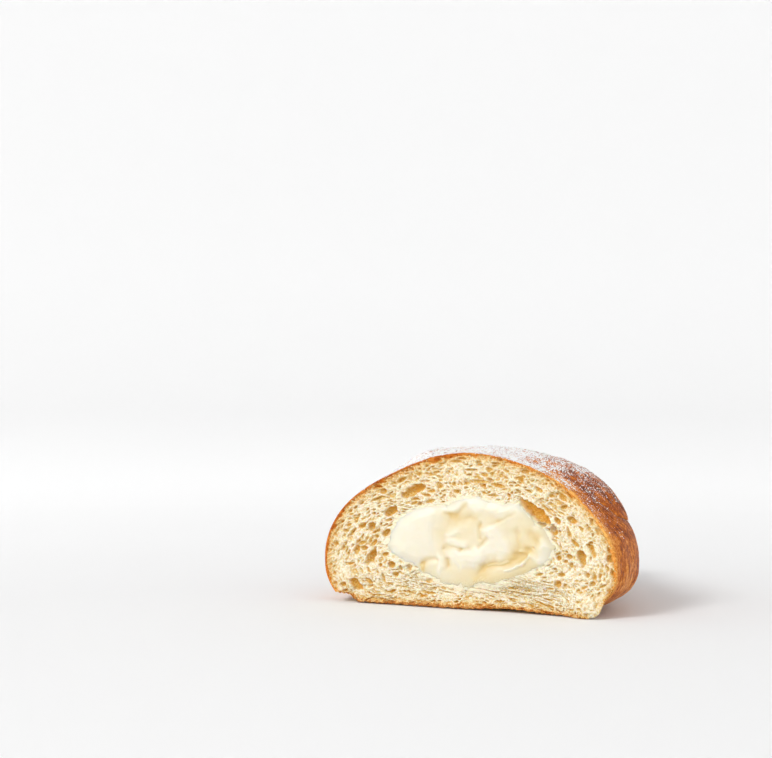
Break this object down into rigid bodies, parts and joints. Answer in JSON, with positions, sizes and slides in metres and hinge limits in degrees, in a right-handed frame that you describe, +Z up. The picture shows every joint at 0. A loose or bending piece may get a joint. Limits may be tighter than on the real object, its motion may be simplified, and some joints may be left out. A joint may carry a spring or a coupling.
{
  "type": "cream-filled croissant half",
  "caption": "Cut half of a plump croissant lying on its flat base, with rolled wraps, an open crumb and thick cream filling the hollow at the cut.",
  "frame": {"origin": "middle of the flat baked base that the half rests on", "axes": "+Z up out of the base; -Y out of the cut face, so +Y runs back to the pointed end; +X to the right as seen from in front of the cut face"},
  "size_m": [0.0875, 0.081, 0.0434],
  "materials": {
    "baked_bread": "golden-brown baked crust outside, pale yellow open crumb at the cut, matte",
    "custard_cream": "thick pale yellow custard cream, softly glossy"
  },
  "bodies": {
    "root": {"bread": "baked_bread", "cream": "custard_cream"}
  },
  "joints": []
}
